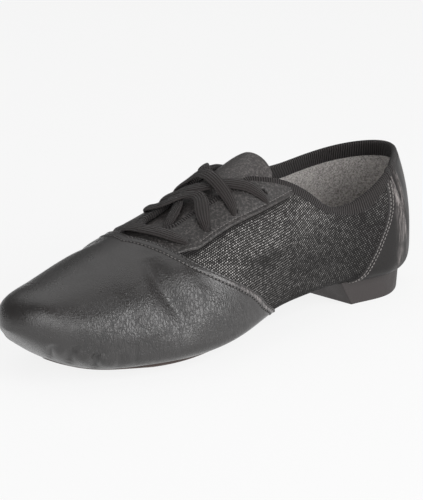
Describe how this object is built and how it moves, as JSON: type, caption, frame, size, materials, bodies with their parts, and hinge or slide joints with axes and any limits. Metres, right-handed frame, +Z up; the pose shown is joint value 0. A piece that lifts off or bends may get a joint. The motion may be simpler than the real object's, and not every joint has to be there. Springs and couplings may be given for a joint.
{
  "type": "jazz shoe",
  "caption": "Low lace-up jazz dance shoe with a soft leather upper, mesh side panels, a bound collar, a split sole and a low block heel.",
  "frame": {"origin": "middle of the heel block's flat ground face", "axes": "+Z up, -Y towards the toe, +X towards the outer side of this left shoe"},
  "size_m": [0.0882, 0.2476, 0.0844],
  "materials": {
    "upper": "soft matt leather, worn",
    "topline_binding": "ribbed grosgrain tape",
    "eyestay": "matt leather with a light nap",
    "heel_counter": "smooth leather with light scuffs",
    "tongue": "soft matt leather",
    "insole_board": "plain board",
    "insole": "grey felt",
    "forefoot_sole": "worn suede",
    "heel_block": "matt, fine grain",
    "lace": "flat woven cotton, ribbed lengthwise"
  },
  "bodies": {
    "root": {"upper": "upper", "topline_binding": "topline_binding", "eyestay": "eyestay", "heel_counter": "heel_counter", "tongue": "tongue", "insole_board": "insole_board", "insole": "insole", "forefoot_sole": "forefoot_sole", "heel_block": "heel_block", "lace_bar_front": "lace", "lace_bar_second": "lace", "lace_cross": "lace"}
  },
  "joints": []
}
